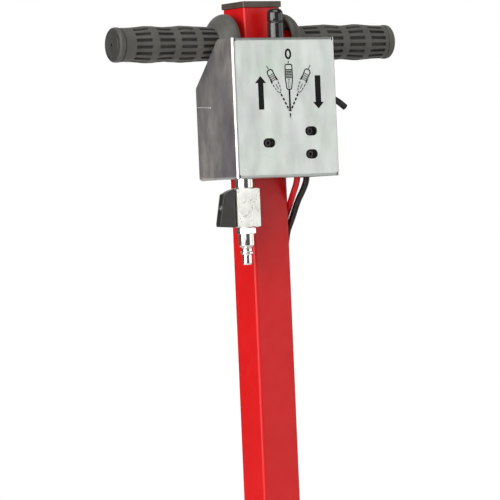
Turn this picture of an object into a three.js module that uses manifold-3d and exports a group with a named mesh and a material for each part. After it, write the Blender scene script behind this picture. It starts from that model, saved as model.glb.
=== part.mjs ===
// Control handle of a compressed-air machine: a square steel column on a foot plate, with a T-bar
// and two guarded grips, a sheet-metal control box around a hand-lever valve, a shut-off ball valve
// with a quick plug below the box, and two air hoses that run down inside the column.
//
// Frame: millimetres, +Z up along the column. The origin is the centre of the foot plate's
// underside. X runs along the T-bar, and the control panel faces -Y.

import * as THREE from 'three';
import { mergeVertices } from 'three/addons/utils/BufferGeometryUtils.js';
import Module from 'manifold-3d';

const wasm = await Module();
wasm.setup();

// ---------------------------------------------------------------- driving dimensions
const GAP = 0.3; // air left between pieces that touch
const TOP = 720; // top of the column cap

// column and foot
const COLUMN_W = 40;
const COLUMN_WALL = 2.5;
const COLUMN_R = 3;
const CAP = { width: 42, corner: 1.2, thick: 5.5, plugDepth: 12 };
const FOOT = { width: 90, thick: 8, corner: 8, boltPitch: 64, boltR: 4.5 };
const PORT_X = 9; // hose ports in the foot plate, either side of the column's axis

// T-bar and grips
const BAR_Z = TOP - 38.6;
const BAR_R = 12.5;
const BAR_WALL = 2;
const GRIP_END = 151; // outer end of a grip, from the column's axis
const GRIP_R = 16.6;
const GUARD_R = 27.8;
const GUARD_X = 33; // widest ring of the bell guard
const GRIP_ROWS = [54.5, 79, 103.5, 128]; // middles of the four ribbed barrels
const GRIP_ROW_HALF = 9.2;
const GRIP_BULGE = 0.8;

// control box
const SHEET = 1.5;
const BOX_HALF = 56;
const BOX_FRONT = -56.7;
const BOX_BACK = 14.5;
const BOX_TOP = 683.5;
const BOX_BOTTOM = 552.7;
const BEND_R = 3; // outside radius of the sheet's bends
const SIDE_TOP_BACK = -29.5; // where the side plate's slanted edge starts at the top
const SIDE_KNEE_Z = 640; // where the slanted edge meets the rear edge
const LIP_DEPTH = 7.5;
const FLANGE_BACK = -24;
const HEM = 3.5; // width of the side plates' folded lower edges
const SLOT = { length: 13, height: 8.8 };

// hand-lever valve
const VALVE_X = 3.5;
const VALVE_Y = -37;
const VALVE = { left: -27.5, right: 38.5, back: -23.6, front: -49.4, bottom: 564, top: 600 };
const VALVE_SCREWS = [[-20.2, 585.1], [26, 595.3], [25.8, 573.7]];
const SPOOL_Z = 585;
const SPOOL_R = 6;
const SPOOL = { left: -9.5, right: 17.5, stemEnd: 31 };
const PIVOT_Z = 598;
const LEVER_TOP = 712;
const LEVER_ROD_R = 3;
const KNOB = { r: 7.65, length: 55 };

// mounting bracket behind the valve
const BRACKET = { thick: 3, bottom: 562, top: 614, wingBack: -3 };
const BRACKET_SCREWS = [[-12, 572], [12, 572], [-12, 608], [12, 608]];

// shut-off valve and quick plug, on one vertical axis
const AIR_X = -38.4;
const AIR_Y = -38;
const BALL_Z = 526;
const BALL_R = 7.4;
const SHUTOFF = { flats: 24.6, bottom: 507.4, top: 543.9, boreR: 8.1 };
const HANDLE = { from: 13, to: 29.6, taper: 5, low: -18.2, high: 17.6, highEnd: 12.8, thick: 9 };
const STEM_END = 23; // from the ball's centre
const PLUG_END = 472.4;

// hoses
const HOSE_R = 3;
const RED_PORT_X = 20.8; // outlet ports in the valve's underside
const BLACK_PORT_X = 30.9;
const HOSE_ENTRY = { z: 478, half: 29, width: 12 }; // slot in the column's right face
const EXHAUST_PORT_X = 31;
const EXHAUST_HOLE = { y: -43.2, z: 627, r: 5.6 };

// ---------------------------------------------------------------- materials
function finish(hex, roughness, metalness) {
  return () => new THREE.MeshStandardMaterial({ color: hex, roughness, metalness });
}
const redPaint = finish(0xc4202a, 0.4, 0.1);
const blackPlastic = finish(0x2a2826, 0.55, 0);
const gripRubber = finish(0x3c3835, 0.75, 0);
const zincSheet = finish(0xb9bdb8, 0.4, 0.85);
const nickel = finish(0xcfcbc0, 0.25, 1);
const steel = finish(0x9a9a9a, 0.35, 1);
const blackSteel = finish(0x2c2c2c, 0.4, 0.9);
const aluminium = finish(0xa9abad, 0.45, 0.9);
const redHosePlastic = finish(0xc01820, 0.3, 0);
const blackHosePlastic = finish(0x1d1a19, 0.3, 0);
const seatPlastic = finish(0xe8e6e0, 0.5, 0);
const sealRubber = finish(0x141414, 0.7, 0);

// ---------------------------------------------------------------- solids
function solid(geometry) {
  const bare = geometry.clone();
  bare.deleteAttribute('normal');
  bare.deleteAttribute('uv');
  const merged = mergeVertices(bare, 1e-4);
  const mesh = new wasm.Mesh({
    numProp: 3,
    vertProperties: merged.attributes.position.array,
    triVerts: new Uint32Array(merged.index.array),
  });
  return new wasm.Manifold(mesh);
}

function toGeometry(manifold) {
  const mesh = manifold.getMesh();
  const geometry = new THREE.BufferGeometry();
  geometry.setAttribute('position', new THREE.BufferAttribute(mesh.vertProperties, 3));
  geometry.setIndex(new THREE.BufferAttribute(mesh.triVerts, 1));
  geometry.computeVertexNormals();
  return geometry;
}

function block(x0, x1, y0, y1, z0, z1) {
  const geometry = new THREE.BoxGeometry(x1 - x0, y1 - y0, z1 - z0);
  return solid(geometry.translate((x0 + x1) / 2, (y0 + y1) / 2, (z0 + z1) / 2));
}

// A round or many-sided rod along one axis, from a to b; at gives the other two coordinates in
// X, Y, Z order, and r is the distance to its corners.
function rod(axis, r, a, b, at, sides = 16) {
  const geometry = new THREE.CylinderGeometry(r, r, b - a, sides);
  const middle = (a + b) / 2;
  if (axis === 'x') geometry.rotateZ(-Math.PI / 2).translate(middle, at[0], at[1]);
  if (axis === 'y') geometry.translate(at[0], middle, at[1]);
  if (axis === 'z') geometry.rotateX(Math.PI / 2).translate(at[0], at[1], middle);
  return solid(geometry);
}

function hexagon(flats, z0, z1, at) {
  return rod('z', flats / 2 / Math.cos(Math.PI / 6), z0, z1, at, 6);
}

// A turned piece on the Z axis. The outline is [radius, z] pairs, anticlockwise with the radius to
// the right and z up. It starts and ends on the axis, or else it is closed here.
function turned(outline, sides = 24) {
  const points = outline.map(([r, z]) => new THREE.Vector2(r, z));
  if (outline[0][0] > 0) points.push(points[0].clone());
  return solid(new THREE.LatheGeometry(points, sides).rotateX(Math.PI / 2));
}

function ring(inner, outer, z0, z1, sides = 24) {
  return turned([[inner, z0], [outer, z0], [outer, z1], [inner, z1]], sides);
}

function roundedSquare(width, radius) {
  const h = width / 2;
  const s = new THREE.Shape();
  s.moveTo(-h + radius, -h);
  s.lineTo(h - radius, -h);
  s.absarc(h - radius, -h + radius, radius, -Math.PI / 2, 0, false);
  s.lineTo(h, h - radius);
  s.absarc(h - radius, h - radius, radius, 0, Math.PI / 2, false);
  s.lineTo(-h + radius, h);
  s.absarc(-h + radius, h - radius, radius, Math.PI / 2, Math.PI, false);
  s.lineTo(-h, -h + radius);
  s.absarc(-h + radius, -h + radius, radius, Math.PI, Math.PI * 1.5, false);
  return s;
}

function upright(shape, z0, z1) {
  const options = { depth: z1 - z0, bevelEnabled: false, curveSegments: 4 };
  return solid(new THREE.ExtrudeGeometry(shape, options).translate(0, 0, z0));
}

// An obround hole cutter along an axis, long in the named direction.
function obround(axis, width, length, a, b, at, along) {
  const r = width / 2;
  const reach = (length - width) / 2;
  const ends = [-1, 1].map((side) => {
    const centre = [...at];
    centre[along] += side * reach;
    return rod(axis, r, a, b, centre, 16);
  });
  const lower = [at[0] - (along === 0 ? reach : r), at[1] - (along === 1 ? reach : r)];
  const upper = [at[0] + (along === 0 ? reach : r), at[1] + (along === 1 ? reach : r)];
  const limits = {
    x: [a, b, lower[0], upper[0], lower[1], upper[1]],
    y: [lower[0], upper[0], a, b, lower[1], upper[1]],
    z: [lower[0], upper[0], lower[1], upper[1], a, b],
  };
  return ends[0].add(ends[1]).add(block(...limits[axis]));
}

function tubeAlong(points, radius, steps, sides = 8) {
  const path = new THREE.CatmullRomCurve3(points.map((p) => new THREE.Vector3(...p)));
  const section = new THREE.Shape();
  for (let i = 0; i < sides; i += 1) {
    const a = (i / sides) * Math.PI * 2;
    const x = radius * Math.cos(a);
    const y = radius * Math.sin(a);
    if (i === 0) section.moveTo(x, y);
    else section.lineTo(x, y);
  }
  return solid(new THREE.ExtrudeGeometry(section, { steps, extrudePath: path, bevelEnabled: false }));
}

function cutAll(body, tools) {
  return tools.reduce((left, tool) => left.subtract(tool), body);
}

function joinAll(first, ...rest) {
  return rest.reduce((whole, piece) => whole.add(piece), first);
}

// ---------------------------------------------------------------- assembly
const handle = new THREE.Group();

function place(name, body, material) {
  const mesh = new THREE.Mesh(toGeometry(body), material());
  mesh.name = name;
  handle.add(mesh);
  return mesh;
}

// ---------------------------------------------------------------- column, cap and foot
const columnTop = TOP - CAP.thick - GAP;
const half = COLUMN_W / 2;

function columnTube() {
  const outline = roundedSquare(COLUMN_W, COLUMN_R);
  outline.holes.push(roundedSquare(COLUMN_W - 2 * COLUMN_WALL, 1));
  const holes = [
    rod('x', BAR_R + GAP, -half - 1, half + 1, [0, BAR_Z], 28),
    obround('x', HOSE_ENTRY.width, 2 * HOSE_ENTRY.half, half - 5, half + 1, [0, HOSE_ENTRY.z], 1),
  ];
  for (const [x, z] of BRACKET_SCREWS) holes.push(rod('y', 2.8, -half - 1, -half + 5, [x, z]));
  return cutAll(upright(outline, FOOT.thick + GAP, columnTop), holes);
}
place('column_tube', columnTube(), redPaint);

function columnCap() {
  const plate = upright(roundedSquare(CAP.width, CAP.corner), TOP - CAP.thick, TOP);
  const insert = roundedSquare(COLUMN_W - 2 * COLUMN_WALL - 2 * GAP, 1);
  insert.holes.push(roundedSquare(COLUMN_W - 2 * COLUMN_WALL - 2 * GAP - 4, 1));
  return plate.add(upright(insert, TOP - CAP.thick - CAP.plugDepth, TOP - CAP.thick + 1));
}
place('column_cap', columnCap(), blackPlastic);

function footPlate() {
  const plate = upright(roundedSquare(FOOT.width, FOOT.corner), 0, FOOT.thick);
  const holes = [];
  for (const sx of [-1, 1]) {
    holes.push(rod('z', 5 + GAP, -1, FOOT.thick + 1, [sx * PORT_X, 0]));
    for (const sy of [-1, 1]) {
      const at = [(sx * FOOT.boltPitch) / 2, (sy * FOOT.boltPitch) / 2];
      holes.push(rod('z', FOOT.boltR, -1, FOOT.thick + 1, at));
    }
  }
  return cutAll(plate, holes);
}
place('foot_plate', footPlate(), redPaint);

// Threaded into the foot plate, with a push-in mouth for the hose above it.
function portFitting() {
  const outline = [
    [2, 0.5], [5, 0.5], [5, FOOT.thick + GAP], [7, FOOT.thick + GAP], [7, 17], [6, 18],
    [6, 24], [HOSE_R + GAP, 24], [HOSE_R + GAP, 14], [2, 14],
  ];
  return turned(outline, 18);
}
for (const [name, x] of [['lift_port_fitting', -PORT_X], ['lower_port_fitting', PORT_X]]) {
  place(name, portFitting(), nickel).position.x = x;
}

// ---------------------------------------------------------------- T-bar and grips
const barEnd = GRIP_END - 4;
const bar = place('handle_bar', ring(BAR_R - BAR_WALL, BAR_R, -barEnd, barEnd, 28), redPaint);
bar.rotation.y = Math.PI / 2;
bar.position.z = BAR_Z;

// A rubber grip turned on its own axis, with the bell guard at z = GUARD_X and the closed end,
// with its vent, at z = GRIP_END.
function grip() {
  const bore = BAR_R + GAP;
  const rimZ = GUARD_X - 4.5;
  const bell = [[bore, 41], [17, 38], [23, rimZ + 3], [GUARD_R - 3, rimZ], [GUARD_R - 0.8, rimZ]];
  bell.push([GUARD_R, GUARD_X], [26.4, 38], [23, 43], [GRIP_R - GRIP_BULGE, 44]);
  const barrels = GRIP_ROWS.flatMap((middle) => [
    [GRIP_R - GRIP_BULGE, middle - GRIP_ROW_HALF - 1],
    [GRIP_R + GRIP_BULGE / 2, middle - 4],
    [GRIP_R + GRIP_BULGE / 2, middle + 4],
    [GRIP_R - GRIP_BULGE, middle + GRIP_ROW_HALF + 1],
  ]);
  const cap = [[GRIP_R, 141], [GRIP_R, GRIP_END - 1.5], [GRIP_R - 1.5, GRIP_END]];
  const vent = [[1.6, GRIP_END], [1.6, barEnd + GAP], [bore, barEnd + GAP]];
  return turned([...bell, ...barrels, ...cap, ...vent]);
}
for (const [name, side] of [['left_grip', -1], ['right_grip', 1]]) {
  const mesh = place(name, grip(), gripRubber);
  mesh.rotation.y = (side * Math.PI) / 2;
  mesh.position.z = BAR_Z;
}

// ---------------------------------------------------------------- control box
function boxCover() {
  const walls = new THREE.Shape();
  const inside = BOX_HALF - SHEET;
  const bendY = BOX_FRONT + BEND_R;
  const bendX = BOX_HALF - BEND_R;
  walls.moveTo(-BOX_HALF, BOX_BACK);
  walls.lineTo(-BOX_HALF, bendY);
  walls.absarc(-bendX, bendY, BEND_R, Math.PI, Math.PI * 1.5, false);
  walls.lineTo(bendX, BOX_FRONT);
  walls.absarc(bendX, bendY, BEND_R, -Math.PI / 2, 0, false);
  walls.lineTo(BOX_HALF, BOX_BACK);
  walls.lineTo(inside, BOX_BACK);
  walls.lineTo(inside, bendY);
  walls.absarc(bendX, bendY, BEND_R - SHEET, 0, -Math.PI / 2, true);
  walls.lineTo(-bendX, BOX_FRONT + SHEET);
  walls.absarc(-bendX, bendY, BEND_R - SHEET, -Math.PI / 2, -Math.PI, true);
  walls.lineTo(-inside, BOX_BACK);

  // the wedge of sheet missing from the upper back of both sides
  const wedge = new THREE.Shape();
  wedge.moveTo(SIDE_TOP_BACK, BOX_TOP + 1);
  wedge.lineTo(SIDE_TOP_BACK, BOX_TOP);
  wedge.lineTo(-10.8, 665);
  wedge.lineTo(BOX_BACK, SIDE_KNEE_Z);
  wedge.lineTo(BOX_BACK + 1, SIDE_KNEE_Z);
  wedge.lineTo(BOX_BACK + 1, BOX_TOP + 1);
  const width = 2 * BOX_HALF + 4;
  const cutter = new THREE.ExtrudeGeometry(wedge, { depth: width, bevelEnabled: false });
  cutter.rotateY(Math.PI / 2);
  cutter.rotateX(Math.PI / 2);
  cutter.translate(-width / 2, 0, 0);

  const edge = BOX_HALF - 4;
  const join = BOX_FRONT + SHEET / 2;
  const lip = block(-edge, edge, join, BOX_FRONT + LIP_DEPTH, BOX_TOP - SHEET, BOX_TOP);
  const flange = block(-edge, edge, join, FLANGE_BACK, BOX_BOTTOM, BOX_BOTTOM + SHEET);
  const hems = [-BOX_HALF + SHEET / 2, BOX_HALF - HEM].map((x) => (
    block(x, x + HEM - SHEET / 2, -edge, BOX_BACK, BOX_BOTTOM, BOX_BOTTOM + SHEET)));
  const z0 = BOX_BOTTOM - 1;
  const z1 = BOX_BOTTOM + SHEET + 1;
  const hoseX = (RED_PORT_X + BLACK_PORT_X) / 2;
  const holes = VALVE_SCREWS.map(([x, z]) => (
    obround('y', SLOT.height, SLOT.length, BOX_FRONT - 1, BOX_FRONT + SHEET + 1, [x, z], 0)));
  holes.push(rod('z', 8, z0, z1, [AIR_X, AIR_Y], 24));
  holes.push(obround('z', 9, BLACK_PORT_X - RED_PORT_X + 9, z0, z1, [hoseX, VALVE_Y], 0));
  holes.push(rod('x', EXHAUST_HOLE.r, inside - 1, BOX_HALF + 1, [EXHAUST_HOLE.y, EXHAUST_HOLE.z]));
  const channel = upright(walls, BOX_BOTTOM, BOX_TOP).subtract(solid(cutter));
  const shell = joinAll(channel, lip, flange, ...hems);
  return cutAll(shell, holes);
}
place('box_cover', boxCover(), zincSheet);

// A channel that closes the box's sides behind the valve and bolts to the column.
function mountingBracket() {
  const front = -half - GAP - BRACKET.thick;
  const reach = BOX_HALF - SHEET - GAP;
  const web = block(-reach, reach, front, -half - GAP, BRACKET.bottom, BRACKET.top);
  const wings = [-1, 1].map((side) => {
    const x0 = side < 0 ? -reach : reach - BRACKET.thick;
    return block(x0, x0 + BRACKET.thick, front, BRACKET.wingBack, BRACKET.bottom, BRACKET.top);
  });
  const holes = VALVE_SCREWS.map((at) => rod('y', 2.3, front - 1, -half, at));
  for (const at of BRACKET_SCREWS) {
    holes.push(rod('y', 2.8, front - 1, -half, at));
    holes.push(rod('y', 5.1, front - 1, front + 2, at));
  }
  return cutAll(joinAll(web, ...wings), holes);
}
place('mounting_bracket', mountingBracket(), zincSheet);

const bracketFace = -half - GAP - BRACKET.thick;
BRACKET_SCREWS.forEach((at, i) => {
  const head = rod('y', 4.8, bracketFace + 0.1, bracketFace + 1.7, at);
  const socket = rod('y', 1.8, bracketFace, bracketFace + 1, at, 6);
  const shank = rod('y', 2.5, bracketFace + 1, -half + 7, at, 12);
  place(`bracket_screw_${i + 1}`, head.subtract(socket).add(shank), steel);
});

// ---------------------------------------------------------------- hand-lever valve
const slotHalfY = 3.6;

function valveBody() {
  const main = block(VALVE.left, VALVE.right, VALVE.front, VALVE.back, VALVE.bottom, VALVE.top);
  const housing = block(VALVE_X - 17, VALVE_X + 17, VALVE.front, VALVE.back, VALVE.top - 1, 606);
  const lever = VALVE_X - 11;
  const holes = [
    rod('x', SPOOL_R + GAP, -15.6, VALVE.right + 1, [VALVE_Y, SPOOL_Z], 24),
    block(lever, lever + 22, VALVE_Y - slotHalfY, VALVE_Y + slotHalfY, 584, 607),
    rod('y', 2 + GAP, VALVE.front - 1, VALVE.back + 1, [VALVE_X, PIVOT_Z]),
    rod('x', 4 + GAP, VALVE.left - 1, VALVE.left + 5, [AIR_Y, 572]),
    rod('z', 3 + GAP, VALVE.bottom - 1, VALVE.bottom + 5, [RED_PORT_X, VALVE_Y]),
    rod('z', 3 + GAP, VALVE.bottom - 1, VALVE.bottom + 5, [BLACK_PORT_X, VALVE_Y]),
    rod('z', 3 + GAP, VALVE.top - 5, VALVE.top + 1, [EXHAUST_PORT_X, VALVE_Y]),
  ];
  for (const at of VALVE_SCREWS) holes.push(rod('y', 2.3, VALVE.front - 1, VALVE.back + 1, at));
  return cutAll(joinAll(main, housing), holes);
}
place('valve_body', valveBody(), aluminium);

VALVE_SCREWS.forEach((at, i) => {
  const face = VALVE.front - GAP;
  const head = rod('y', 3.5, face - 4, face, at);
  const socket = rod('y', 1.75, face - 5, face - 2, at, 6);
  const shank = rod('y', 2, face - 1, bracketFace + 2.5, at, 12);
  place(`valve_screw_${i + 1}`, head.subtract(socket).add(shank), blackSteel);
});

// The spool slides along X. The lever's ball end sits in its notch.
function spool() {
  const land = rod('x', SPOOL_R, SPOOL.left, SPOOL.right, [VALVE_Y, SPOOL_Z], 24);
  const stem = rod('x', 2, SPOOL.right - 1, SPOOL.stemEnd, [VALVE_Y, SPOOL_Z], 12);
  const notch = 3.55;
  const cuts = [
    block(VALVE_X - notch, VALVE_X + notch, VALVE_Y - 8, VALVE_Y + 8, SPOOL_Z - 3.6, SPOOL_Z + 8),
    block(VALVE_X - 8, VALVE_X + 8, VALVE_Y - 8, VALVE_Y + 8, SPOOL_Z + 2, SPOOL_Z + 8),
  ];
  const grooves = [SPOOL.left + 1.4, SPOOL.right - 3.6].map((x) => {
    const outside = rod('x', SPOOL_R + 1, x, x + 2.2, [VALVE_Y, SPOOL_Z]);
    return outside.subtract(rod('x', 4.4, x - 1, x + 3.2, [VALVE_Y, SPOOL_Z]));
  });
  return cutAll(joinAll(land, stem), [...cuts, ...grooves]);
}
place('valve_spool', spool(), steel);

[SPOOL.left + 1.4, SPOOL.right - 3.6].forEach((x, i) => {
  const mesh = place(`spool_seal_${i + 1}`, ring(4.6, 6.1, 0.3, 1.9, 18), sealRubber);
  mesh.rotation.y = Math.PI / 2;
  mesh.position.set(x, VALVE_Y, SPOOL_Z);
});

function centringSpring() {
  const turns = 4;
  const coil = [];
  for (let i = 0; i <= turns * 10; i += 1) {
    const a = (i / 10) * Math.PI * 2;
    coil.push([24.4 + (i / (turns * 10)) * 8.4, 4.6 * Math.cos(a), 4.6 * Math.sin(a)]);
  }
  return tubeAlong(coil, 0.6, 48, 5);
}
place('centring_spring', centringSpring(), steel).position.set(0, VALVE_Y, SPOOL_Z);

function spoolEndPlug() {
  const thread = rod('x', SPOOL_R, 34, VALVE.right + 1, [VALVE_Y, SPOOL_Z], 24);
  const head = rod('x', 8.5, VALVE.right + GAP, VALVE.right + 4.5, [VALVE_Y, SPOOL_Z], 6);
  const blind = rod('x', 2.8, 33, VALVE.right + 2, [VALVE_Y, SPOOL_Z], 12);
  return joinAll(thread, head).subtract(blind);
}
place('spool_end_plug', spoolEndPlug(), nickel);

const pinAt = [VALVE_X, PIVOT_Z];
place('lever_pivot_pin', rod('y', 2, VALVE.front + 1, VALVE.back - 1, pinAt), steel);

function controlLever() {
  const at = [VALVE_X, VALVE_Y];
  const hub = rod('y', 4.6, VALVE_Y - 3.2, VALVE_Y + 3.2, pinAt);
  const stick = rod('z', LEVER_ROD_R, PIVOT_Z, LEVER_TOP - 12, at);
  const neck = rod('z', 1.8, SPOOL_Z, PIVOT_Z, at, 12);
  const ball = new THREE.SphereGeometry(3.2, 12, 8).translate(VALVE_X, VALVE_Y, SPOOL_Z);
  const eye = rod('y', 2 + GAP, VALVE_Y - 5, VALVE_Y + 5, pinAt);
  return joinAll(hub, stick, neck, solid(ball)).subtract(eye);
}
place('control_lever', controlLever(), steel);

// Turned on the lever's axis: a round-topped knob with a groove near the top and a tapered foot.
function leverKnob() {
  const z = LEVER_TOP;
  const bottom = z - KNOB.length;
  const bore = LEVER_ROD_R + GAP;
  const boreTop = z - 11;
  return turned([
    [0, boreTop], [bore, boreTop], [bore, bottom], [5, bottom], [6.2, bottom + 12],
    [KNOB.r, bottom + 16], [KNOB.r, z - 14], [KNOB.r - 0.7, z - 13], [KNOB.r, z - 12],
    [KNOB.r, z - 5], [KNOB.r - 1.2, z - 2], [KNOB.r - 3.6, z - 0.4], [0, z],
  ]);
}
place('lever_knob', leverKnob(), blackPlastic).position.set(VALVE_X, VALVE_Y, 0);

// ---------------------------------------------------------------- fittings and hoses
// A straight push-in fitting on a port face at z = 0: thread below it, hexagon and mouth above.
function pushInFitting() {
  const hex = hexagon(10, GAP, 4, [0, 0]);
  const collar = rod('z', 4.9, 3.5, 8.5, [0, 0]);
  const thread = rod('z', 3, -4.6, 1, [0, 0], 12);
  const bore = rod('z', 1.8, -6, 5, [0, 0], 12);
  const mouth = rod('z', HOSE_R + 0.6, 4.5, 9, [0, 0]);
  return cutAll(joinAll(hex, collar, thread), [bore, mouth]);
}
for (const [name, x] of [['red_hose_fitting', RED_PORT_X], ['black_hose_fitting', BLACK_PORT_X]]) {
  const mesh = place(name, pushInFitting(), nickel);
  mesh.position.set(x, VALVE_Y, VALVE.bottom);
  mesh.rotation.x = Math.PI;
}
const exhaustFitting = place('exhaust_fitting', pushInFitting(), nickel);
exhaustFitting.position.set(EXHAUST_PORT_X, VALVE_Y, VALVE.top);

const hoseStart = VALVE.bottom - 5.2;
const hoseEnd = 14.5;
const redRoute = [
  [RED_PORT_X, VALVE_Y, hoseStart], [RED_PORT_X, -36.9, 556], [20.8, -35.6, 549.5],
  [20.8, -32.6, 544], [21.2, -27.6, 538], [22.8, -20.4, 531.5], [24.2, -12.8, 524],
  [24.8, -5.8, 515.5], [24.8, -0.6, 506], [22.4, 1.0, 496], [17.8, 1.2, 485.5],
  [11.5, 1.3, 473.5], [4.5, 1.6, 459], [-2, 1.6, 441], [-7.4, 0.8, 414], [-PORT_X, 0, 384],
  [-PORT_X, 0, 300], [-PORT_X, 0, 200], [-PORT_X, 0, 100], [-PORT_X, 0, hoseEnd],
];
const blackRoute = [
  [BLACK_PORT_X, VALVE_Y, hoseStart], [BLACK_PORT_X, -36.9, 556], [30.9, -35.9, 549.5],
  [30.5, -33.2, 544], [29.8, -28.8, 538], [28.8, -23.5, 531], [28.1, -19.2, 524],
  [27.2, -15, 516], [26.2, -10.4, 508], [25.4, -7, 501.5], [25.2, -4.9, 494.5],
  [24.6, -3.3, 487.5], [22.6, -1.8, 480], [19.4, -0.8, 472.5], [15.5, 0, 464],
  [12, 0.3, 454], [9.8, 0.3, 440], [PORT_X, 0, 420], [PORT_X, 0, 384], [PORT_X, 0, 300],
  [PORT_X, 0, 200], [PORT_X, 0, 100], [PORT_X, 0, hoseEnd],
];
place('red_hose', tubeAlong(redRoute, HOSE_R, 52), redHosePlastic);
place('black_hose', tubeAlong(blackRoute, HOSE_R, 52), blackHosePlastic);

const exhaustRoute = [
  [EXHAUST_PORT_X, VALVE_Y, VALVE.top + 5.2], [EXHAUST_PORT_X, VALVE_Y, 609], [33.8, -38, 617.5],
  [40, -39.6, 624.3], [48.5, -41.6, 627.8], [57, -43.3, 626.6], [65, -44, 622.8],
  [72.6, -44.2, 617.2],
];
place('exhaust_tube', tubeAlong(exhaustRoute, HOSE_R, 20), blackHosePlastic);

// An obround rubber edging in the column's hose slot, lipped inside and outside the wall.
function hoseGrommet() {
  const { z, half: reach, width } = HOSE_ENTRY;
  const wallIn = half - COLUMN_WALL;
  const oval = (w, l, a, b) => obround('x', w, l, a, b, [0, z], 1);
  const sleeve = oval(width - 2 * GAP, 2 * reach - 2 * GAP, wallIn - 1.5, half + 1.5);
  const outerLip = oval(width + 6, 2 * reach + 6, half + GAP, half + 1.6);
  const innerLip = oval(width + 3, 2 * reach + 3, wallIn - 2, wallIn - GAP);
  const opening = oval(width - 2, 2 * reach - 2, wallIn - 4, half + 4);
  return joinAll(sleeve, outerLip, innerLip).subtract(opening);
}
place('hose_grommet', hoseGrommet(), sealRubber);

function exhaustGrommet() {
  const at = [EXHAUST_HOLE.y, EXHAUST_HOLE.z];
  const wallIn = BOX_HALF - SHEET;
  const sleeve = rod('x', EXHAUST_HOLE.r - GAP, wallIn - 1, BOX_HALF + 1, at);
  const outerLip = rod('x', 7.4, BOX_HALF + GAP, BOX_HALF + 1.8, at);
  const innerLip = rod('x', 7.4, wallIn - 1.8, wallIn - GAP, at);
  const opening = rod('x', 4.1, wallIn - 4, BOX_HALF + 4, at);
  return joinAll(sleeve, outerLip, innerLip).subtract(opening);
}
place('exhaust_grommet', exhaustGrommet(), sealRubber);

// ---------------------------------------------------------------- air inlet
const airAt = [AIR_X, AIR_Y];

function bulkheadNipple() {
  const outline = [
    [3, 534.5], [7.7, 534.5], [7.7, 544.2], [8.8, 544.2], [8.8, 552.4], [7.7, 552.4], [7.7, 562],
    [5, 562], [5, 569], [3, 569],
  ];
  return turned(outline, 20);
}
place('bulkhead_nipple', bulkheadNipple(), nickel).position.set(AIR_X, AIR_Y, 0);

const nutBottom = BOX_BOTTOM + SHEET + GAP;
const nut = hexagon(22, nutBottom, nutBottom + 6, airAt)
  .subtract(rod('z', 7.7 + GAP, nutBottom - 1, nutBottom + 7, airAt));
place('bulkhead_nut', nut, nickel);

function supplyElbow() {
  const right = VALVE.left - GAP;
  const body = block(AIR_X - 8, right, AIR_Y - 8, AIR_Y + 8, 563, 580);
  const spigot = rod('x', 4, right - 1, VALVE.left + 4.5, [AIR_Y, 572]);
  const socket = rod('z', 5 + GAP, 562, 569.5, airAt);
  const riser = rod('z', 3.2, 569, 575.3, airAt);
  const across = rod('x', 2.4, AIR_X - 0.7, VALVE.left + 6, [AIR_Y, 572], 12);
  return cutAll(joinAll(body, spigot), [socket, riser, across]);
}
place('supply_elbow', supplyElbow(), nickel);

// ---------------------------------------------------------------- shut-off ball valve
function shutoffBody() {
  const hex = hexagon(SHUTOFF.flats, SHUTOFF.bottom, SHUTOFF.top, airAt);
  const bore = rod('z', SHUTOFF.boreR, SHUTOFF.bottom - 1, SHUTOFF.top + 1, airAt, 24);
  const stemHole = rod('x', 3 + GAP, AIR_X - SHUTOFF.flats, AIR_X, [AIR_Y, BALL_Z]);
  return cutAll(hex, [bore, stemHole]);
}
place('ball_valve_body', shutoffBody(), nickel);

function valveBall() {
  const sphere = solid(new THREE.SphereGeometry(BALL_R, 20, 12).translate(AIR_X, AIR_Y, BALL_Z));
  const port = rod('z', 4, BALL_Z - 9, BALL_Z + 9, airAt);
  const slot = block(AIR_X - 9, AIR_X - 5, AIR_Y - 3.2, AIR_Y + 3.2, BALL_Z - 1.3, BALL_Z + 1.3);
  return cutAll(sphere, [port, slot]);
}
place('valve_ball', valveBall(), nickel);

for (const [name, z0] of [['upper_ball_seat', BALL_Z + 5.7], ['lower_ball_seat', BALL_Z - 8.1]]) {
  place(name, ring(5.5, 7.8, z0, z0 + 2.4), seatPlastic).position.set(AIR_X, AIR_Y, 0);
}

function valveStem() {
  const at = [AIR_Y, BALL_Z];
  const shaft = rod('x', 3, AIR_X - STEM_END, AIR_X - BALL_R - GAP, at);
  const tang = block(AIR_X - 8, AIR_X - 5.4, AIR_Y - 2.8, AIR_Y + 2.8, BALL_Z - 1, BALL_Z + 1);
  const thread = rod('x', 1.3, AIR_X - STEM_END - 1, AIR_X - STEM_END + 5, at, 12);
  return joinAll(shaft, tang).subtract(thread);
}
place('valve_stem', valveStem(), nickel);

// A wing in line with the valve when it is open, hollow around the stem. Its outline is in (X, Z)
// from the ball's centre.
function shutoffHandle() {
  const { from, to, taper, low, high, highEnd, thick } = HANDLE;
  const outline = [
    [-from, low], [-to, low + 1], [-to, low + 4], [-to + taper, highEnd], [-from - 4.5, high - 1.4],
    [-from, high],
  ];
  const shape = new THREE.Shape(outline.map(([x, z]) => new THREE.Vector2(x, z)));
  const plate = new THREE.ExtrudeGeometry(shape, { depth: thick, bevelEnabled: false });
  plate.translate(0, 0, -thick / 2);
  plate.rotateX(Math.PI / 2);
  const wing = solid(plate.translate(AIR_X, AIR_Y, BALL_Z));
  const at = [AIR_Y, BALL_Z];
  const stemHole = rod('x', 3 + GAP, AIR_X - STEM_END - GAP, AIR_X - from + 1, at);
  const screwHole = rod('x', 3.2, AIR_X - to, AIR_X - STEM_END - 1.6, at);
  const throat = rod('x', 1.8, AIR_X - to, AIR_X - STEM_END + 1, at, 12);
  return cutAll(wing, [stemHole, screwHole, throat]);
}
place('ball_valve_handle', shutoffHandle(), blackPlastic);

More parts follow.
